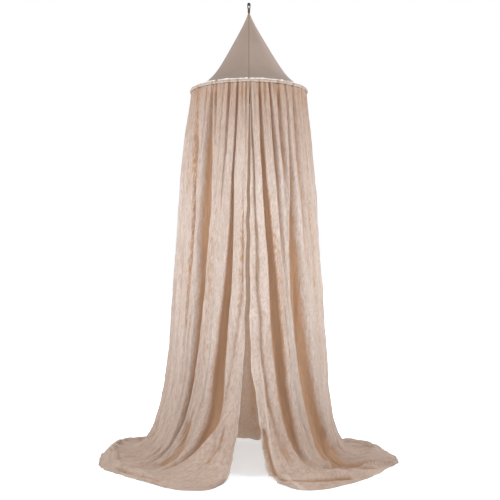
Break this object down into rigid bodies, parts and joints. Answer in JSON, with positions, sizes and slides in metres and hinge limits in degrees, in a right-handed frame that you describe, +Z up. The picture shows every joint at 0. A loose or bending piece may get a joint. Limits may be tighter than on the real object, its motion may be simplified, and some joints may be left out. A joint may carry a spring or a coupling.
{
  "type": "bed canopy with hoop and peg",
  "caption": "Bed canopy: a long muslin curtain gathered round a hoop under a pointed cone, parted at the front and pooled on the floor, hung by a loop from a peg.",
  "frame": {"origin": "on the peg's axis, where the loop hangs, straight above the middle of the hoop", "axes": "+Z up, -Y to the front where the curtain parts, +X to the right of someone who faces that front"},
  "size_m": [1.2782, 1.1949, 1.9395],
  "materials": {
    "muslin": "crinkled, matt",
    "cone_cloth": "smooth plain weave, matt",
    "trim": "puckered, matt",
    "loop_tape": "woven tape, matt",
    "hoop_rod": "satin",
    "peg_metal": "satin black"
  },
  "bodies": {
    "root": {"curtain": "muslin", "cone_gore_front_left": "cone_cloth", "cone_gore_back_left": "cone_cloth", "cone_gore_back_right": "cone_cloth", "cone_gore_front_right": "cone_cloth", "hoop_casing": "trim", "heading_frill": "trim", "hanging_loop": "loop_tape", "hoop": "hoop_rod", "peg": "peg_metal"}
  },
  "joints": []
}
